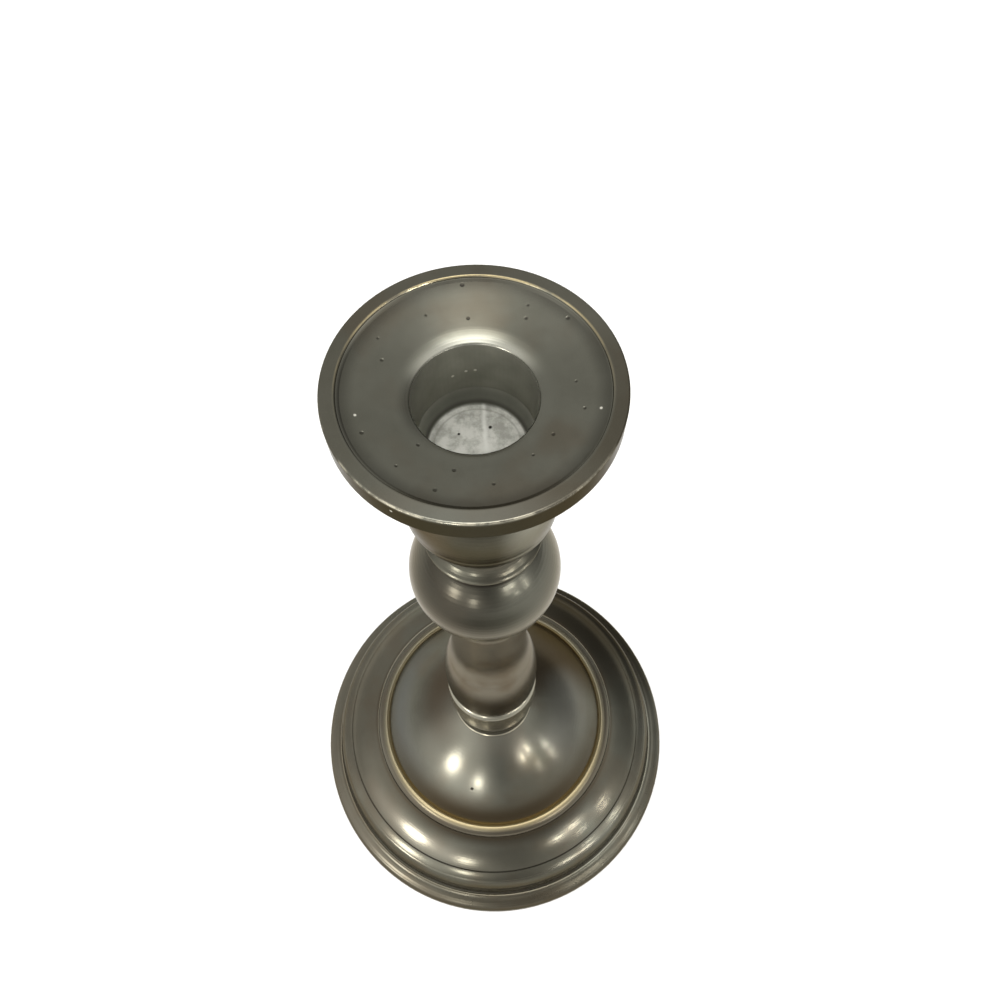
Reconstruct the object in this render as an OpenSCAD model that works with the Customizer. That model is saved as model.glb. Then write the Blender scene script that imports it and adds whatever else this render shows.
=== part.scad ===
// Taper candle holder: turned castings stacked on one tie rod.
// Origin: centre of the face it stands on, at the axis. Z is up, all sizes in mm.

/* [Stack heights] */
// Height of the hollow base, floor to the seat of the stem
base_h = 70; // [66:1:76]
// Height of the foot bead
bead_h = 31.4; // [26:0.2:34]
// Height of the baluster
baluster_h = 86.2; // [78:0.2:98]
// Height of the ball knop between its two flats
ball_h = 30; // [29:0.2:31]
// Height of the neck collar
collar_h = 13.4; // [11:0.2:16]
// Height of the candle cup, its foot to the top of the rim
cup_h = 50; // [48:1:56]

/* [Candle cup] */
// Outer diameter of the drip pan
pan_d = 52; // [48:0.5:58]
// Diameter inside the flat rim
rim_in_d = 46.2; // [42:0.2:47]
// Height of the outside of the pan's edge
lip_h = 5; // [4:0.5:6]
// Depth of the dish at its outer wall
dish_wall_h = 0.8; // [0.6:0.1:1.6]
// Depth of the candle bore's mouth below the rim
mouth_drop = 4; // [3.5:0.1:5]
// Diameter of the candle bore
bore_d = 22.2; // [21:0.1:23]
// Depth of the bore's floor below the rim
floor_drop = 20.6; // [18:0.2:22]
// Diameter of the flat floor of the bore
floor_d = 18.6; // [16:0.2:20]
// Largest diameter of the cup's bulb
bulb_d = 34; // [32:0.5:37]

/* [Stem] */
// Diameter of the collar's sharp lower edge
collar_d = 27; // [25:0.2:29]
// Diameter of the ball knop
ball_d = 37.6; // [36:0.2:40]
// Smallest diameter of the baluster's long neck
neck_d = 22.6; // [21:0.2:23]
// Largest diameter of the baluster's shoulder
shoulder_d = 31; // [29:0.2:33]
// Largest diameter of the foot bead
bead_d = 31.4; // [31:0.2:33]

/* [Base] */
// Largest diameter of the base rim
base_d = 147; // [140:1:156]
// Diameter of the seat that the stem stands on
seat_d = 29.6; // [28:0.2:31]
// Diameter of the worn ring round the dome
ring_d = 89.6; // [86:0.2:92]
// Height of the worn ring above the floor
ring_z = 43.6; // [40:0.2:46]
// Diameter of the incised line
line_d = 120.4; // [117:0.2:122]
// Diameter of the groove above the rim
groove_d = 134.6; // [132:0.2:137]
// Wall thickness of the hollow casting
wall = 4; // [3:0.5:4.5]

/* [Tie rod] */
// Thread diameter of the tie rod and its nut
rod_d = 8; // [6:1:8]
// Width of the hex nut across its flats
nut_af = 13; // [10:1:13]
// Diameter of the plain washer
washer_d = 24; // [18:1:26]

/* [Hidden] */
$fn = 96;

// Levels of the joints between the sections
bead_z = base_h;
baluster_z = bead_z + bead_h;
ball_z = baluster_z + baluster_h;
collar_z = ball_z + ball_h;
cup_z = collar_z + collar_h;
top_z = cup_z + cup_h;

// Registers: a short spigot under each section sits in a socket in the one below
spigot_r = 7;
spigot_h = 2.2;
socket_r = spigot_r + 0.05;
socket_h = 2.6;

// The thread is plain: the rod is a running fit in the cup and in the nut
thread_r = rod_d / 2;
rod_r = thread_r - 0.05;
rod_hole_r = thread_r + 0.4;

// Underside of the base: the boss that the washers and nut pull up against
boss_r = 10;
boss_z = 30;
washer_t = 1.6;
spring_t = 2;
nut_h = 6.5;
rod_below_nut = 3;
rod_end_z = boss_z - washer_t - spring_t - nut_h - rod_below_nut;
rod_top_z = cup_z + 23;

pewter = [0.36, 0.35, 0.30];
brown_pewter = [0.38, 0.34, 0.28];
zinc = [0.72, 0.73, 0.72];

// A bowed run from p to q in n steps. It swells by h to the left of the way it goes,
// or to the right where h is negative.
function bow(p, q, h, n = 14) =
    let (
        way = q - p,
        chord = norm(way),
        left = [-way[1], way[0]] / chord,
        radius = (chord * chord / 4 + h * h) / (2 * abs(h)),
        side = sign(h),
        centre = (p + q) / 2 + left * (h - side * radius),
        start = atan2(p[1] - centre[1], p[0] - centre[0]),
        sweep = -side * 2 * asin(min(1, chord / (2 * radius)))
    )
    [for (i = [0 : n]) centre + radius * [cos(start + sweep * i / n), sin(start + sweep * i / n)]];

// An elliptical run about c with half axes a and b, from angle t0 to t1
function sweep(c, a, b, t0, t1, n = 16) =
    [for (i = [0 : n]) let (t = t0 + (t1 - t0) * i / n) c + [a * cos(t), b * sin(t)]];

module turned(outline) {
    rotate_extrude($fn = 96)
        polygon(outline);
}

// A section with its spigot below and the rod's hole through it
module section(outline, z, top) {
    difference() {
        union() {
            turned(outline);
            translate([0, 0, z - spigot_h])
                cylinder(h = spigot_h + 1, r = spigot_r);
        }
        translate([0, 0, z - spigot_h - 1])
            cylinder(h = top - z + spigot_h + 2, r = rod_hole_r);
        translate([0, 0, top - socket_h])
            cylinder(h = socket_h + 1, r = socket_r);
    }
}

// Drip pan, bulb and candle bore in one casting, tapped from below for the tie rod
module candle_cup() {
    pan_r = pan_d / 2;
    rim_in_r = rim_in_d / 2;
    edge = 0.4;
    mouth_z = top_z - mouth_drop;
    floor_z = top_z - floor_drop;
    corner_h = 3.6;
    bore_r = bore_d / 2;
    dish_z = top_z - dish_wall_h;
    brow_r = bore_r + 3;
    brow_z = mouth_z + (dish_z - mouth_z) * 0.35;
    lip_z = top_z - lip_h;
    waist = [bulb_d / 2 - 2.6, top_z - 16.5];
    bulb_r = bulb_d / 2;
    bulb_z = cup_z + 19;
    turn_r = bulb_r - 0.6;
    turn_z = cup_z + 11.3;
    foot_r = 10.8;
    outline = concat(
        [[0, floor_z], [floor_d / 2, floor_z]],
        [[bore_r, floor_z + corner_h]],
        bow([bore_r, mouth_z - edge], [bore_r + edge, mouth_z + 0.1], 0.08, 4),
        bow([bore_r + edge + 0.1, mouth_z + 0.15], [brow_r, brow_z], 0.09, 6),
        [[rim_in_r - 0.6, dish_z]],
        bow([rim_in_r, top_z - edge], [rim_in_r + edge, top_z], 0.1, 4),
        bow([pan_r - edge, top_z], [pan_r, top_z - edge], 0.12, 4),
        bow([pan_r, lip_z + edge], [pan_r - edge, lip_z], 0.12, 4),
        bow([pan_r - 1.6, lip_z - 0.4], waist, -3.2, 14),
        sweep([bulb_r - 5, bulb_z], 5, 13.2, 62, 4, 10),
        bow([bulb_r, bulb_z], [turn_r, turn_z], 0.12, 5),
        sweep([foot_r, turn_z], turn_r - foot_r, 7.6, -6, -90, 14),
        [[foot_r, cup_z], [0, cup_z]]
    );
    color(pewter)
        difference() {
            union() {
                turned(outline);
                translate([0, 0, cup_z - spigot_h])
                    cylinder(h = spigot_h + 1, r = spigot_r);
            }
            translate([0, 0, cup_z - spigot_h - 1])
                cylinder(h = rod_top_z + 2 - cup_z + spigot_h + 1, r = thread_r);
        }
}

// Flared ring between the cup and the ball
module neck_collar() {
    foot_r = 10.8;
    edge_r = collar_d / 2;
    edge_z = collar_z + 5.6;
    ball_top_r = sqrt(pow(ball_d / 2, 2) - pow(ball_h / 2, 2));
    outline = concat(
        [[0, cup_z], [foot_r, cup_z]],
        bow([foot_r, cup_z - 0.8], [edge_r - 0.3, edge_z + 1.2], -1.0, 10),
        bow([edge_r, edge_z + 0.9], [edge_r, edge_z + 0.2], 0.1, 4),
        [[edge_r - 0.3, edge_z]],
        bow([edge_r - 0.8, edge_z - 0.3], [ball_top_r, collar_z + 3], -0.5, 6),
        [[ball_top_r, collar_z], [0, collar_z]]
    );
    color(pewter)
        section(outline, collar_z, cup_z);
}

// Ball knop, flat where it meets its neighbours
module ball_knop() {
    r = ball_d / 2;
    flat = asin(ball_h / 2 / r);
    outline = concat(
        [[0, collar_z]],
        sweep([0, ball_z + ball_h / 2], r, r, flat, -flat, 30),
        [[0, ball_z]]
    );
    color(pewter)
        section(outline, ball_z, collar_z);
}

// Long neck that swells into a shoulder
module baluster() {
    top_r = sqrt(pow(ball_d / 2, 2) - pow(ball_h / 2, 2)) - 0.2;
    neck_r = neck_d / 2;
    shoulder_r = shoulder_d / 2;
    shoulder_z = baluster_z + 10.6;
    swell_z = shoulder_z + 22;
    outline = concat(
        [[0, ball_z], [top_r, ball_z]],
        bow([top_r, ball_z - 0.5], [neck_r, ball_z - 14], -0.12, 6),
        bow([neck_r, shoulder_z + 38], [shoulder_r - 2.5, swell_z], -0.6, 10),
        sweep([shoulder_r - 5, shoulder_z], 5, 25.4, 59, 0, 12),
        bow([shoulder_r, shoulder_z - 0.5], [shoulder_r - 0.75, baluster_z + 0.5], 0.3, 6),
        [[shoulder_r - 1, baluster_z], [0, baluster_z]]
    );
    color(brown_pewter)
        section(outline, baluster_z, ball_z);
}

// Barrel-shaped bead that the baluster stands on
module foot_bead() {
    bead_r = bead_d / 2;
    round_r = 2.8;
    round_z = baluster_z - round_r - 0.1;
    foot_r = bead_r - 3;
    outline = concat(
        [[0, baluster_z], [bead_r - round_r, baluster_z]],
        sweep([bead_r - round_r, round_z], round_r, round_r, 84, 4, 12),
        bow([bead_r, round_z - 0.6], [foot_r + 0.6, bead_z + 1.2], 1.1, 16),
        [[foot_r, bead_z + 0.4], [foot_r, bead_z], [0, bead_z]]
    );
    color(pewter)
        section(outline, bead_z, baluster_z);
}

// Outside of the base, from the seat down to the foot
function base_outside() =
    let (
        seat_r = seat_d / 2,
        ring_r = ring_d / 2,
        line_r = line_d / 2,
        groove_r = groove_d / 2,
        rim_r = base_d / 2,
        line_z = ring_z - 9.7,
        groove_z = 18,
        shoulder_r = line_r + 2.5,
        shoulder_z = groove_z + 3,
        shoulder_w = groove_r - 1 - shoulder_r,
        shoulder_h = line_z - groove_z - 5.2
    )
    concat(
        [[0, base_h], [seat_r - 0.3, base_h], [seat_r, base_h - 0.3], [seat_r, base_h - 1.3]],
        bow([seat_r - 0.4, base_h - 1.7], [ring_r - 1.3, ring_z - 0.6], 2.5, 26),
        bow([ring_r - 0.8, ring_z - 0.4], [ring_r + 0.5, ring_z - 0.5], 0.3, 8),
        bow([ring_r + 1, ring_z - 1.1], [ring_r + 3, ring_z - 2], -0.12, 4),
        [[ring_r + 3.2, ring_z - 2.35]],
        bow([ring_r + 3.6, ring_z - 2.3], [line_r - 0.2, line_z + 0.2], 0.75, 14),
        [[line_r - 0.45, line_z - 0.4]],
        bow([line_r + 0.25, line_z - 0.25], [line_r + 3, line_z - 2.2], -0.1, 6),
        sweep([shoulder_r, shoulder_z], shoulder_w, shoulder_h, 80, 5, 14),
        bow([groove_r - 0.95, shoulder_z + 0.2], [groove_r - 0.55, groove_z + 0.4], -0.1, 6),
        [[groove_r - 0.5, groove_z - 0.4]],
        bow([groove_r, groove_z - 0.9], [groove_r + 1.3, groove_z - 1.1], 0.22, 4),
        bow([groove_r + 1.6, groove_z - 1.3], [rim_r - 2.1, groove_z - 2.5], 0.12, 3),
        sweep([rim_r - 2.4, groove_z - 7.4], 2.4, 4.8, 76, 0, 9),
        bow([rim_r, groove_z - 7.8], [rim_r - 0.2, 5.8], 0.15, 4),
        sweep([rim_r - 2.9, 5.4], 2.7, 4.9, -5, -66, 8),
        [[rim_r - 4.2, 0]]
    );

// Hollow of the base round its boss, from the foot up and down again to the boss
function base_inside() =
    let (
        ring_r = ring_d / 2,
        rim_r = base_d / 2,
        line_r = line_d / 2,
        roof_z = base_h - 7
    )
    concat(
        [[rim_r - 7.2, 0]],
        bow([rim_r - 7.8, 2], [line_r - 0.6, ring_z - 18.1], -2, 10),
        bow([line_r - 1.4, ring_z - 9.3 - wall], [ring_r - 1.4, ring_z - 1.4 - wall], -0.6, 8),
        bow([ring_r - 1.4 - wall, ring_z + 1 - wall / 2], [boss_r + 8, roof_z - 1.4], -1.6, 14),
        bow([boss_r + 6, roof_z - 2.2], [boss_r, roof_z - 9], 1.4, 6),
        [[boss_r, boss_z + 0.6], [boss_r - 0.6, boss_z], [0, boss_z]]
    );

// Dome, mouldings and rim in one hollow casting with a boss inside
module base() {
    color(pewter)
        difference() {
            turned(concat(base_outside(), base_inside()));
            translate([0, 0, boss_z - 1])
                cylinder(h = base_h - boss_z + 2, r = rod_hole_r);
            translate([0, 0, base_h - socket_h])
                cylinder(h = socket_h + 1, r = socket_r);
        }
}

// Steel rod from the cup to the nut, with a small lead at each end
module tie_rod() {
    lead = 0.8;
    color(zinc)
        turned([
            [0, rod_end_z], [rod_r - lead, rod_end_z], [rod_r, rod_end_z + lead],
            [rod_r, rod_top_z - lead], [rod_r - lead, rod_top_z], [0, rod_top_z]
        ]);
}

// Wide plain washer under the boss
module plain_washer() {
    color(zinc)
        translate([0, 0, boss_z - washer_t])
            difference() {
                cylinder(h = washer_t, d = washer_d);
                translate([0, 0, -1])
                    cylinder(h = washer_t + 2, r = rod_hole_r);
            }
}

// Split spring washer, pressed flat
module spring_washer() {
    split_w = 1.4;
    color(zinc)
        translate([0, 0, boss_z - washer_t - spring_t])
            difference() {
                cylinder(h = spring_t, r = thread_r + 3.1);
                translate([0, 0, -1])
                    cylinder(h = spring_t + 2, r = thread_r + 0.1);
                rotate(25)
                    translate([0, -split_w / 2, -1])
                        cube([thread_r + 5, split_w, spring_t + 2]);
            }
}

// Hex nut with its corners turned off at both faces
module hex_nut() {
    corner_r = nut_af / 2 / cos(30);
    bevel = 0.7;
    color(zinc)
        translate([0, 0, boss_z - washer_t - spring_t - nut_h])
            difference() {
                intersection() {
                    cylinder(h = nut_h, r = corner_r, $fn = 6);
                    turned([
                        [0, 0], [corner_r - bevel, 0], [corner_r + 0.1, bevel * 0.8],
                        [corner_r + 0.1, nut_h - bevel * 0.8], [corner_r - bevel, nut_h], [0, nut_h]
                    ]);
                }
                translate([0, 0, -1])
                    cylinder(h = nut_h + 2, r = thread_r);
            }
}

candle_cup();
neck_collar();
ball_knop();
baluster();
foot_bead();
base();
tie_rod();
plain_washer();
spring_washer();
hex_nut();
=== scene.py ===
import math

import bpy
from mathutils import Matrix, Vector

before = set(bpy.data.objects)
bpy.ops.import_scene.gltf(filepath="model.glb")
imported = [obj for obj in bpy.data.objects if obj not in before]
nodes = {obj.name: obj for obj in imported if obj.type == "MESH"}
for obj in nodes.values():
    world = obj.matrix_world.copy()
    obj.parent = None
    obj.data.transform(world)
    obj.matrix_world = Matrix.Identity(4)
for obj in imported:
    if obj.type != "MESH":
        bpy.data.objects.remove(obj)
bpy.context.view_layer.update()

# Camera
# It looks down from above the front of the holder, as the photograph does: the
# place, the turn and the lens come from the ellipses of the pan, base and grooves.
CAMERA_AT = Vector((0, -0.08143, 0.39794))
PITCH = 1.100487
YAW = 0.022352
ROLL = -0.061021
FOCAL_PX = 850
FRAME_PX = 1000
SENSOR_MM = 36

look = Matrix((
    (1, 0, 0),
    (0, -math.sin(PITCH), -math.cos(PITCH)),
    (0, math.cos(PITCH), -math.sin(PITCH)),
))
turn = Matrix((
    (math.cos(YAW), 0, -math.sin(YAW)),
    (0, 1, 0),
    (math.sin(YAW), 0, math.cos(YAW)),
))
tilt = Matrix((
    (math.cos(ROLL), -math.sin(ROLL), 0),
    (math.sin(ROLL), math.cos(ROLL), 0),
    (0, 0, 1),
))
right, down, ahead = tilt @ turn @ look
camera_data = bpy.data.cameras.new("camera")
camera_data.sensor_width = SENSOR_MM
camera_data.lens = SENSOR_MM * FOCAL_PX / FRAME_PX
camera_data.clip_start = 0.01
camera = bpy.data.objects.new("camera", camera_data)
camera.matrix_world = Matrix.Translation(CAMERA_AT) @ Matrix((right, -down, -ahead)).transposed().to_4x4()
bpy.context.scene.collection.objects.link(camera)
bpy.context.scene.camera = camera
bpy.context.scene.view_settings.view_transform = "Standard"


# Tie rod and its fastening
# A zinc plated steel rod runs up the axis from under the base into the cup; a nut
# with a split washer and a plain washer draws it down against the boss of the base.
class Value:
    """A shader socket that can be used in ordinary sums."""

    def __init__(self, tree, socket):
        self.tree = tree
        self.socket = socket

    def node(self, kind, settings=None, out=0, **sockets):
        """Adds a node of that kind: its settings first, then the values or links of its sockets."""
        made = self.tree.nodes.new(kind)
        for name, value in (settings or {}).items():
            setattr(made, name, value)
        for name, value in sockets.items():
            key = int(name[3:]) if name.startswith("in_") else name.replace("_", " ")
            if isinstance(value, Value):
                self.tree.links.new(value.socket, made.inputs[key])
            else:
                made.inputs[key].default_value = value
        return Value(self.tree, made.outputs[out])

    def maths(self, operation, *values):
        sockets = {f"in_{k}": value for k, value in enumerate(values)}
        return self.node("ShaderNodeMath", {"operation": operation}, **sockets)

    def __add__(self, other):
        return self.maths("ADD", self, other)

    def __radd__(self, other):
        return self.maths("ADD", other, self)

    def __sub__(self, other):
        return self.maths("SUBTRACT", self, other)

    def __rsub__(self, other):
        return self.maths("SUBTRACT", other, self)

    def __mul__(self, other):
        return self.maths("MULTIPLY", self, other)

    def __rmul__(self, other):
        return self.maths("MULTIPLY", other, self)

    def __abs__(self):
        return self.maths("ABSOLUTE", self)

    def held(self):
        """The value held between 0 and 1."""
        return self.node("ShaderNodeClamp", Value=self)

    def rise(self, low, high):
        """0 below low, 1 above high, and a soft step between."""
        return self.node(
            "ShaderNodeMapRange", {"interpolation_type": "SMOOTHSTEP"},
            Value=self, From_Min=low, From_Max=high)

    def near(self, centre, width):
        """1 at the centre, falling softly to 0 at that width on either side."""
        return 1 - abs(self - centre).rise(0.0, width)


def blend(share, first, second):
    """A colour that goes from the first to the second with that share."""
    made = share.tree.nodes.new("ShaderNodeMix")
    made.data_type = "RGBA"
    for name, value in (("Factor", share), ("A", first), ("B", second)):
        socket = next(s for s in made.inputs if s.name == name and s.enabled)
        if isinstance(value, Value):
            share.tree.links.new(value.socket, socket)
        else:
            socket.default_value = (*value, 1)
    return Value(share.tree, next(s for s in made.outputs if s.enabled))


class Finish:
    """A metal finish with the holder's own coordinates in millimetres."""

    def __init__(self, name):
        self.material = bpy.data.materials.new(name)
        self.material.use_nodes = True
        self.tree = self.material.node_tree
        self.shader = self.tree.nodes["Principled BSDF"]
        metres = Value(self.tree, self.tree.nodes.new("ShaderNodeTexCoord").outputs["Object"])
        self.place = metres.node("ShaderNodeVectorMath", {"operation": "SCALE"}, in_0=metres, Scale=1000)
        self.x, self.y, self.z = (
            self.place.node("ShaderNodeSeparateXYZ", out=k, Vector=self.place) for k in range(3))
        self.r = self.x.maths("SQRT", self.x * self.x + self.y * self.y)
        self.turn = self.x.maths("ARCTAN2", self.x, self.y)

    def at(self, x, y, z):
        return self.x.node("ShaderNodeCombineXYZ", X=x, Y=y, Z=z)

    def cloud(self, size, seed, detail=3.0, rough=0.55, at=None):
        """Blotches of that size in mm, between 0 and 1 and about one half."""
        return self.place.node(
            "ShaderNodeTexNoise", {"noise_dimensions": "4D"}, Vector=at or self.place,
            W=seed, Scale=1 / size, Detail=detail, Roughness=rough)

    def set(self, **sockets):
        for name, value in sockets.items():
            socket = self.shader.inputs[name.replace("_", " ")]
            if isinstance(value, Value):
                self.tree.links.new(value.socket, socket)
            else:
                socket.default_value = value

    def relief(self, height_mm):
        self.set(Normal=self.place.node("ShaderNodeBump", Height=height_mm, Distance=0.001, Strength=1.0))


def dress(node, finish):
    surface = nodes[node].data
    surface.materials.clear()
    surface.materials.append(finish.material)


def zinc(name, seed, pitch=None):
    finish = Finish(name)
    bloom = finish.cloud(4, seed, 4, 0.6)
    finish.set(
        Base_Color=blend(bloom, (0.46, 0.46, 0.43), (0.66, 0.67, 0.66)),
        Metallic=1.0, Roughness=0.3 + bloom * 0.2)
    height = bloom * 0.02
    if pitch:
        along = finish.z * (1 / pitch) + finish.turn * (0.5 / math.pi)
        height = height + abs(along.maths("FRACT", along) - 0.5) * 0.9
    finish.relief(height)
    return finish


dress("tie_rod", zinc("tie_rod_zinc", 31.0, 1.25))
dress("plain_washer", zinc("plain_washer_zinc", 32.0))
dress("spring_washer", zinc("spring_washer_zinc", 33.0))
dress("hex_nut", zinc("hex_nut_zinc", 34.0))


# Base
# One hollow casting, turned outside and given a dark olive-grey patina, which is
# rubbed through to a warm brass tone on its ring and browned in the hollows. Painted
# shade darkens its lines, grooves and parts of its sides; painted light, highlights and
# reflections brighten others.
OLIVE = (0.080, 0.079, 0.062)
GREY = (0.140, 0.138, 0.114)
BROWN = (0.098, 0.078, 0.054)
UMBER = (0.046, 0.034, 0.020)
AMBER = (0.240, 0.178, 0.070)
# Near black: for the patina's dark blotches and casting pits, and for painted shade in creases and under the pan.
SOOT_AND_SHADE = (0.012, 0.010, 0.008)
BRASS = (0.400, 0.330, 0.190)
CREAM = (0.560, 0.520, 0.410)


class Patina(Finish):
    """Dark patina with turning marks; rings of wear, painted edge highlights and painted crease shade are laid over
    it by name.
    """

    def __init__(self, name, seed, browned=0.4, light=0.0, satin=0.18, edge=0.45, tones=(OLIVE, GREY), grain=1.0):
        super().__init__(name)
        self.seed = seed
        self.edge = edge
        self.wide = self.cloud(24, seed, 4, 0.6)
        self.fine = self.cloud(2.6, seed + 3.1, 5, 0.65)
        # Turning marks run round the axis, so they hardly change along the turn
        self.marks = self.cloud(0.5, seed + 7.7, 2, 0.5, self.at(self.r, self.z, self.turn * 0.4))
        self.color = blend((self.wide * 1.7 - 0.35 + light).held(), *tones)
        self.lay(self.cloud(15, seed + 11.3).rise(0.47, 0.66) * browned, BROWN)
        self.lay((self.fine - 0.5).held() * (0.4 * grain), SOOT_AND_SHADE)
        self.gloss = satin + (self.wide - 0.5) * 0.08 + ((self.fine - 0.5) * 0.10 + (self.marks - 0.5) * 0.04) * grain
        self.metal = 0.94
        self.height = (self.marks + self.fine) * (0.0012 * grain) + self.cloud(11, seed + 1.7, 1) * 0.02

    def lay(self, share, color):
        self.color = blend(share, self.color, color)

    def facing(self, azimuth, width):
        """1 on the side of that azimuth, from +Y towards +X, falling to 0 at that many degrees from it."""
        a = math.radians(azimuth)
        across = self.x * math.sin(a) + self.y * math.cos(a)
        return across.maths("DIVIDE", across, self.r + 0.01).rise(math.cos(math.radians(width)), 1.0)

    def ring(self, r, z, width):
        """1 on the ring of that radius and height, falling to 0 at that width from it."""
        return self.r.near(r, width) * self.z.near(z, width * 1.7)

    def wear_and_glint(self, r, z, width, color=BRASS, share=1.0, gaps=0.35, size=6.0):
        """Bare metal along a ring, broken where the patina has held; also lays painted edge highlights."""
        left = self.cloud(size, self.seed + r, 4, 0.65).rise(gaps - 0.08, gaps + 0.14)
        mask = self.ring(r, z, width) * left * share
        self.lay(mask, color)
        self.gloss = self.gloss - mask * 0.06

    # Painted shade: a dark ring in a groove, crease or joint where shade falls, with a rougher finish there.
    def crease_shade(self, r, z, width, share=0.9):
        mask = self.ring(r, z, width) * share
        self.lay(mask, SOOT_AND_SHADE)
        self.gloss = self.gloss + mask * 0.3

    def pit(self, x, y, z, radius, depth=0.12, color=SOOT_AND_SHADE, share=1.0):
        """A casting pit: a small dark hollow at that place."""
        away = self.place.node("ShaderNodeVectorMath", {"operation": "DISTANCE"}, 1, in_0=self.place, in_1=(x, y, z))
        mask = 1 - away.rise(radius * 0.35, radius)
        self.lay(mask * share, color)
        self.height = self.height - mask * depth

    def finish(self):
        # How much of the light the patina sends back at a grazing angle
        tint = (self.edge, self.edge * 0.94, self.edge * 0.84, 1)
        self.set(Base_Color=self.color, Metallic=self.metal, Roughness=self.gloss.held(), Specular_Tint=tint)
        self.relief(self.height)
        return self


base = Patina("base_patina", 21.0, 0.35, 0.05, 0.21, grain=0.3)
ring_r, ring_z = 44.8, 43.6
line_r, line_z = 60.0, 33.7
groove_r, groove_z = 66.85, 17.6
dome = 1 - base.r.rise(43.8, 44.1)
front = base.facing(180, 100)
left = base.facing(278, 62) * dome
base.lay(left * base.r.near(21.0, 13.0) * 0.9, (0.070, 0.054, 0.037))
# Painted reflection: a lighter bluish grey on the left of the dome.
base.lay(left * base.r.near(38.5, 7.0) * 0.5, (0.105, 0.111, 0.112))
# Painted shade: the front of the dome inside the ring, and its back right side, are darkened.
base.lay(base.r.rise(33.5, 41.5) * dome * front * 0.95, UMBER)
base.lay(base.facing(50, 44) * dome * 0.85, UMBER)
# Painted light on the dome below the front of the seat; painted shade on its front right; painted light on its right
# and front left; a painted highlight on the front left of the ovolo.
base.lay(base.facing(205, 90) * (1 - base.r.rise(17.0, 27.0)) * 0.5, (0.200, 0.192, 0.160))
base.lay(base.facing(138, 34) * base.r.near(33.0, 9.0) * 0.4, UMBER)
base.lay(base.facing(100, 42) * base.r.near(29.0, 12.0) * 0.55, (0.190, 0.190, 0.170))
base.lay(base.facing(222, 32) * base.r.near(56.5, 5.0) * 0.5, (0.240, 0.222, 0.184))
base.lay(base.facing(225, 50) * base.r.near(30.0, 12.0) * 0.45, (0.180, 0.174, 0.146))
# Painted shade on the outer front of the ovolo, the front of the rim, the back right of the outer base and the front
# of the step; painted light on the left of the rim; browner on the left of the outer base.
base.lay(base.facing(178, 34) * base.r.rise(50.0, 54.0) * 0.3, UMBER)
base.lay(base.facing(262, 50) * base.r.rise(69.0, 71.0) * 0.35, (0.200, 0.188, 0.158))
base.lay(base.r.rise(68.0, 70.0) * front * 0.35, UMBER)
base.lay(base.facing(45, 48) * base.r.rise(46.5, 49.5) * 0.85, (0.027, 0.022, 0.014))
base.lay(base.facing(268, 70) * base.r.rise(46.0, 50.0) * 0.35, BROWN)
base.lay(base.r.near(48.8, 4.2) * front, (0.056, 0.049, 0.036))
base.lay(base.r.near(ring_r - 1.1, 1.4) * base.z.near(ring_z, 4) * (front * 0.3 + 0.35), AMBER)
base.lay(base.r.near(ring_r + 1.8, 2.0) * base.z.near(ring_z - 1, 4) * 0.5, BROWN)
base.wear_and_glint(ring_r, ring_z - 0.1, 1.9, share=front * 0.66 + 0.14, gaps=0.2, size=14.0)
base.gloss = base.gloss + base.ring(ring_r, ring_z - 0.1, 2.6) * 0.24
# Painted shade in the fine step outside the ring, darker just beyond it where an edge would glint, and painted shade
# in the incised line.
base.crease_shade(ring_r + 3.15, ring_z - 2.3, 0.35, 0.6)
base.lay(base.ring(ring_r + 3.9, ring_z - 2.4, 1.0) * 0.5, UMBER)
base.crease_shade(line_r, line_z, 0.6, 0.97)
# Painted light on the steep wall above the groove; painted shade on the left of its outer lip and in the groove.
base.lay(base.r.near(65.6, 2.2) * base.z.near(21.5, 7) * 0.8, (0.29, 0.28, 0.235))
base.lay(base.r.near(68.0, 1.0) * base.facing(225, 70) * 0.5, UMBER)
base.crease_shade(groove_r, groove_z, 0.5, 0.9)
base.gloss = base.gloss + base.r.rise(66.2, 67.0) * 0.07
base.wear_and_glint(14.8, 69.6, 0.45, CREAM, 0.7, 0.25)
base.pit(-10.2, -31.3, 55.4, 0.75)
under_dome = (1 - (base.z + base.r * 0.9).rise(80.4, 80.8)) * (1 - base.r.rise(59.9, 60.1))
under_rim = (1 - (base.z + base.r * 3.5).rise(241.8, 243.0)) * base.r.rise(59.9, 60.1)
rough = under_dome + under_rim
base.lay(rough, blend(base.fine, (0.10, 0.10, 0.09), (0.22, 0.22, 0.20)))
base.gloss = base.gloss + rough * 0.35 + dome * 0.02
base.height = base.height + rough * base.fine * 0.3
dress("base", base.finish())


# Foot bead
# A short turned barrel on the seat of the base, rounded at its top edge. Painted
# light makes its upper half paler, and painted shade darkens the front of the rounding
# and its joints.
bead = Patina("bead_patina", 17.0, 0.25, 0.1, 0.24, 1.0, ((0.104, 0.100, 0.081), (0.152, 0.146, 0.119)), 0.25)
# Painted light on the upper half; painted shade on the front of the rounded top.
bead.lay(bead.z.rise(88.0, 97.0) * 0.55, (0.340, 0.327, 0.268))
bead.lay(bead.z.rise(96.0, 99.0) * bead.facing(182, 40) * 0.3, (0.080, 0.075, 0.060))
# Painted shade in the joint under the baluster and at the seat.
bead.crease_shade(14.2, 101.1, 0.5, 0.6)
bead.crease_shade(12.9, 70.3, 0.8)
dress("foot_bead", bead.finish())


# Baluster
# A long turned neck that swells into a shoulder, browner than the other sections.
baluster = Patina("baluster_patina", 13.0, 0.9, 0.1, 0.26, 0.72, ((0.106, 0.096, 0.076), (0.172, 0.157, 0.125)), 0.3)
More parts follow.
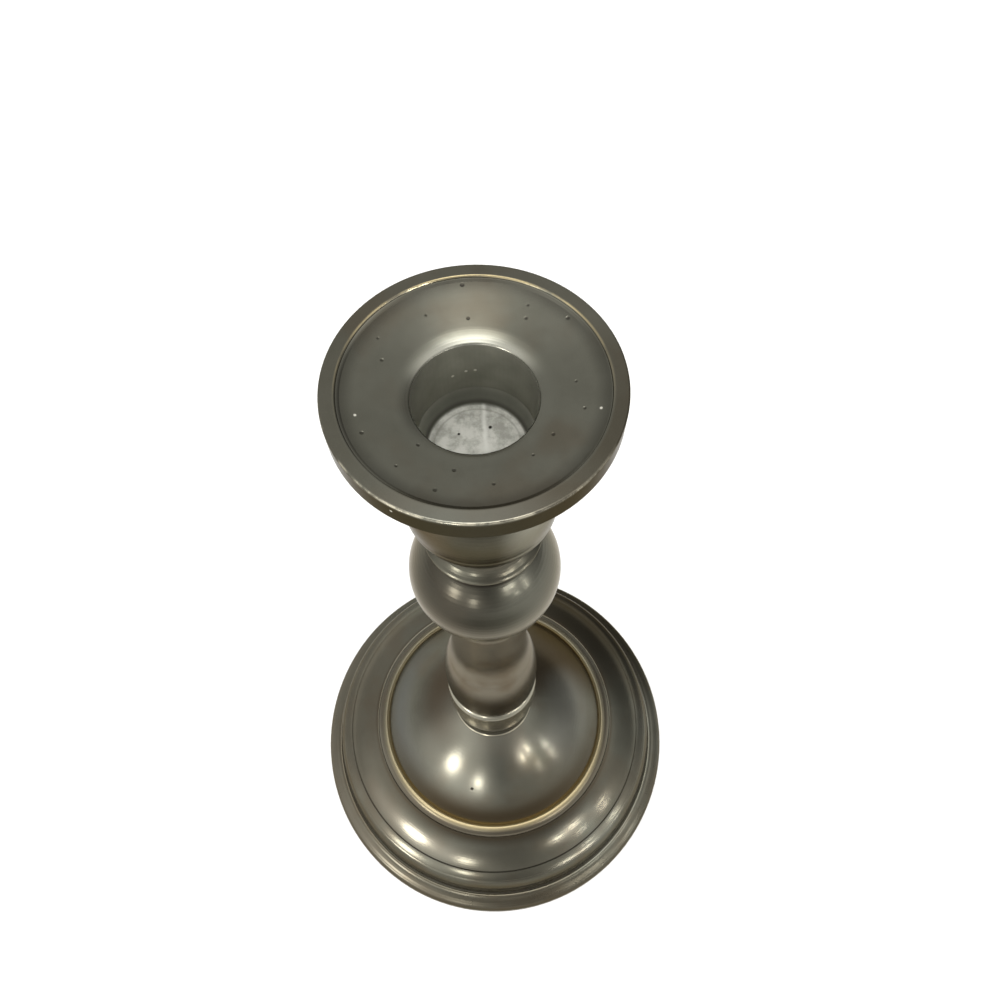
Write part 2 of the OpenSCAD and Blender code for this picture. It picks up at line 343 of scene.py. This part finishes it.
# Painted shade darkens the lower part and the shoulder, and the joints with the bead and the ball.
baluster.lay((1 - baluster.z.rise(114.0, 134.0)) * 0.9, (0.034, 0.029, 0.022))
baluster.crease_shade(14.5, 101.4, 0.4, 0.6)
baluster.crease_shade(11.1, 187.4, 0.7, 0.4)
dress("baluster", baluster.finish())


# Ball knop
# A turned ball, flat above and below, with the most even patina of the stem.
ball = Patina("ball_patina", 9.0, 0.3, 0.0, 0.24, 0.94, ((0.058, 0.058, 0.046), (0.088, 0.086, 0.069)), 0.5)
# Painted light on the right and on the lower front; painted shade on the upper left, under the collar and at the
# foot.
ball.lay(ball.facing(112, 62) * 0.3, (0.150, 0.148, 0.124))
ball.lay((1 - ball.z.rise(195.0, 206.0)) * ball.facing(180, 110) * 0.9, (0.165, 0.158, 0.126))
ball.lay(ball.facing(215, 60) * ball.z.rise(198.0, 207.0) * 0.65, (0.030, 0.026, 0.020))
ball.crease_shade(11.4, 217.5, 0.8)
ball.crease_shade(11.4, 187.8, 0.6, 0.5)
dress("ball_knop", ball.finish())


# Neck collar
# A flared ring between the cup and the ball; a painted highlight runs along its sharp lower edge.
collar = Patina("collar_patina", 5.0, 0.4, 0.0, 0.24, 0.45, ((0.056, 0.054, 0.042), (0.092, 0.089, 0.071)), 0.5)
# A painted highlight along the lower edge; painted shade under that edge and in the joint with the cup.
collar.wear_and_glint(13.4, 223.7, 0.4, CREAM, 0.2, 0.42)
collar.crease_shade(11.6, 221.6, 1.0)
collar.crease_shade(10.8, 230.9, 0.7)
dress("neck_collar", collar.finish())


# Candle cup
# Drip pan, bulb and socket in one casting. The pan keeps its casting pits, its rim
# is rubbed bright on both edges, with a painted highlight on the front of the outer edge,
# and the floor of the socket was left bare and rough. Painted shade darkens the bulb
# under the pan and parts of the rim, and painted light and reflections brighten others.
cup = Patina("cup_patina", 1.0, 0.4, 0.08, 0.22)
below = 1 - cup.z.rise(275.0, 276.2)
under = below * (1 - cup.r.rise(24.5, 25.5))
# Under the pan, painted shade darkens the bulb, most at the front; browner on the left, and a painted reflection
# lightens the right.
cup.lay(under * 0.25, UMBER)
cup.lay(under * cup.facing(178, 36) * 0.2, SOOT_AND_SHADE)
cup.lay(under * cup.facing(238, 40) * 0.5, (0.130, 0.100, 0.072))
cup.lay(under * cup.facing(128, 46) * 0.8, (0.300, 0.296, 0.250))
# Painted light on the rounded mouth of the socket, and a painted highlight at its back.
brow = (1 - cup.r.rise(12.0, 15.0)) * cup.r.rise(11.0, 11.2) * cup.z.rise(276.0, 277.0)
cup.lay(brow * 0.3, (0.160, 0.160, 0.135))
cup.lay(brow * (1 - cup.r.rise(11.5, 13.2)) * cup.facing(0, 80), (0.260, 0.257, 0.222))
rim = cup.r.rise(23.2, 23.8) * cup.z.rise(279.8, 280.2)
# Painted shade darkens the top of the rim except at the front, and more on the right; painted light on its front.
cup.lay(rim * (1 - cup.facing(182, 60)) * 0.2, UMBER)
cup.lay(rim * cup.facing(125, 70) * 0.4, UMBER)
cup.lay(rim * cup.facing(188, 40) * 0.4, (0.175, 0.174, 0.150))
# The dish darkens towards the foot of the rim's wall.
cup.lay(cup.r.rise(19.8, 22.8) * (1 - cup.r.rise(22.9, 23.1)) * 0.4, SOOT_AND_SHADE)
# A painted highlight on the left of the rim's inner edge.
cup.lay(cup.r.near(23.0, 0.5) * cup.z.near(280.6, 0.7) * cup.facing(265, 75) * 0.6, (0.210, 0.205, 0.170))
cup.wear_and_glint(23.35, 280.85, 0.3, BRASS, cup.facing(0, 115), 0.4, 8.0)
# Wear and a painted highlight along the front of the outer edge.
cup.wear_and_glint(25.85, 280.85, 0.26, CREAM, cup.facing(192, 85) * 0.85, 0.48, 3.0)
# Painted shade under the lip of the pan, and on the pan's outer side.
cup.crease_shade(25.3, 276.0, 0.7, 0.8)
side = cup.r.rise(25.6, 25.9) * cup.z.rise(275.5, 276.2) * (1 - cup.z.rise(280.2, 280.8))
cup.lay(side * 0.8, (0.026, 0.024, 0.019))
PITS = (
    (-7.7, 16.4, 279.1), (-0.3, 15.7, 278.5), (-1.0, 22.0, 280.1), (10.4, 17.0, 279.6), (9.9, 14.6, 279.0),
    (17.1, 13.3, 280.0), (-16.1, 11.6, 279.6), (-15.5, 7.4, 278.9), (-18.7, -7.5, 279.6), (17.3, 0.7, 278.9),
    (18.1, -5.0, 279.3), (12.5, -9.2, 278.5), (8.9, -12.9, 278.5), (2.2, -18.1, 279.2), (-7.1, -18.8, 279.6),
    (-13.2, -13.9, 279.4), (-9.7, -9.4, 278.0), (-4.0, -14.8, 278.4),
)
for k, (x, y, z) in enumerate(PITS):
    cup.pit(x, y, z, 0.32 + 0.08 * (k % 3), 0.08, share=0.6)
for x, y, z in ((-19.9, -4.0, 279.6), (20.7, -5.6, 279.9), (-14.1, -21.8, 279.2)):
    cup.pit(x, y, z, 0.35, 0.02, (0.70, 0.68, 0.60))
socket_floor = 260.4
socket = (1 - cup.r.rise(11.0, 11.3)) * cup.z.rise(socket_floor - 0.4, socket_floor - 0.2)
cup.lay(socket, blend(cup.cloud(5, 41.0, 4), (0.165, 0.165, 0.138), (0.35, 0.35, 0.295)))
for x, y, z in ((-3.8, 10.4, 268.7), (-1.3, 11.0, 269.2), (0.4, 11.1, 269.3)):
    cup.pit(x, y, z, 0.4, 0.02, (0.62, 0.60, 0.52))
bare = socket * (1 - cup.z.rise(socket_floor + 0.1, socket_floor + 0.6))
cup.lay(bare, blend(cup.cloud(3, 43.0, 5, 0.7).rise(0.36, 0.62), (0.30, 0.30, 0.27), (0.54, 0.54, 0.50)))
streak = (cup.x + cup.cloud(3, 47.0) * 1.2).near(2.1, 0.8) * cup.y.rise(-4.0, 3.5) * bare
cup.lay(streak * 0.7, (0.70, 0.70, 0.66))
cup.lay(bare * cup.r.near(8.3, 0.35) * 0.5, (0.20, 0.20, 0.17))
cup.pit(2.6, 4.1, socket_floor, 0.5)
cup.pit(-3.4, 3.0, socket_floor, 0.35)
# Darker towards the floor of the socket, and painted shade in the corner at its floor.
cup.lay(socket * cup.r.rise(9.2, 9.7) * (1 - cup.z.rise(262.4, 265.0)) * 0.55, (0.070, 0.070, 0.058))
cup.crease_shade(9.6, socket_floor + 0.8, 0.7, 0.5)
cup.gloss = cup.gloss + socket * 0.15 + bare * 0.15
cup.metal = 0.94 - socket * 0.45 - bare * 0.4
dress("candle_cup", cup.finish())


# Stage
# A white floor that keeps the shadow, a grey room, and the lamps of the photograph:
# one broad lamp to the left and a group of small ones to the right.
bpy.ops.mesh.primitive_plane_add(size=8, location=(0, 0, 0))
floor = bpy.context.object
floor.name = "floor"
paint = bpy.data.materials.new("floor_paint")
paint.use_nodes = True
tree = paint.node_tree
matt = tree.nodes["Principled BSDF"]
matt.inputs["Roughness"].default_value = 1.0
matt.inputs["Specular IOR Level"].default_value = 0.0
path = tree.nodes.new("ShaderNodeLightPath")
seen = Value(tree, path.outputs["Is Camera Ray"])
seen = seen.maths("MAXIMUM", seen, Value(tree, path.outputs["Is Glossy Ray"]))
seen = seen.maths("MAXIMUM", seen, Value(tree, path.outputs["Is Transmission Ray"]))
glow = tree.nodes.new("ShaderNodeEmission")
glow.inputs["Strength"].default_value = 1.0
spot = Value(tree, tree.nodes.new("ShaderNodeTexCoord").outputs["Object"])
across, away = (spot.node("ShaderNodeSeparateXYZ", out=k, Vector=spot) for k in range(2))
# Painted shadow: the floor is darker in an area in front of the holder.
dim = (away * -1).rise(0.13, 0.30) * (1 - abs(across + away * 0.1).rise(0.12, 0.40))
dim = dim * (1 - (away * -1).rise(0.45, 0.95))
shade = blend(dim, (0.92, 0.92, 0.92), (0.36, 0.36, 0.34))
tree.links.new(shade.socket, matt.inputs["Base Color"])
made = seen.node("ShaderNodeMixShader", Fac=seen * (1 - dim * 0.85) * 0.4).socket.node
tree.links.new(matt.outputs[0], made.inputs[1])
tree.links.new(glow.outputs[0], made.inputs[2])
tree.links.new(made.outputs[0], tree.nodes["Material Output"].inputs["Surface"])
floor.data.materials.append(paint)

room = bpy.data.worlds.new("room")
bpy.context.scene.world = room
room.use_nodes = True
back = room.node_tree.nodes["Background"]
out = Value(room.node_tree, room.node_tree.nodes.new("ShaderNodeTexCoord").outputs["Generated"])


def direction(azimuth, elevation):
    a, e = math.radians(azimuth), math.radians(elevation)
    return Vector((math.sin(a) * math.cos(e), math.cos(a) * math.cos(e), math.sin(e)))


# Soft parts of the room: azimuth from +Y towards +X, elevation, half width, light added
ROOM_LIGHT = 0.90
PARTS = (
    (60, 6, 50, -0.60),
    (165, 30, 34, -0.35),
    (205, 6, 34, 0.45),
    (232, 22, 44, 0.90),
    (140, 15, 36, 0.50),
    (180, 85, 21, 6.2),
    (0, 66, 11, 0.60),
    (98, 60, 28, 0.90),
    (262, 62, 28, 0.90),
)
light = ROOM_LIGHT
tint = (1.0, 0.995, 0.965)
for azimuth, elevation, width, added in PARTS:
    facing = out.node("ShaderNodeVectorMath", {"operation": "DOT_PRODUCT"}, 1,
                      in_0=out, in_1=direction(azimuth, elevation))
    light = facing.rise(math.cos(math.radians(width)), 1.0) * added + light
room.node_tree.links.new(light.socket, back.inputs["Strength"])
back.inputs["Color"].default_value = (*tint, 1)

# Azimuth from +Y towards +X and elevation in degrees, width in m, power in W
LAMPS = (
    ("left_broad", 226, 18, 0.28, 4.0),
    ("front", 198, 14, 0.14, 1.6),
    ("right_a", 150, 27, 0.06, 1.1),
    ("right_b", 140, 29, 0.06, 1.1),
    ("right_c", 139, 15, 0.05, 0.4),
    ("right_d", 122, 20, 0.06, 0.5),
    ("right_e", 123, 12, 0.05, 0.4),
)
LAMP_AWAY = 1.3
for name, azimuth, elevation, width, power in LAMPS:
    data = bpy.data.lights.new(name, "AREA")
    data.shape = "DISK"
    data.size = width
    data.energy = power
    data.color = (1.0, 0.97, 0.92)
    lamp = bpy.data.objects.new(name, data)
    way = direction(azimuth, elevation)
    lamp.location = way * LAMP_AWAY + Vector((0, 0, 0.1))
    lamp.rotation_euler = way.to_track_quat("Z", "Y").to_euler()
    bpy.context.scene.collection.objects.link(lamp)
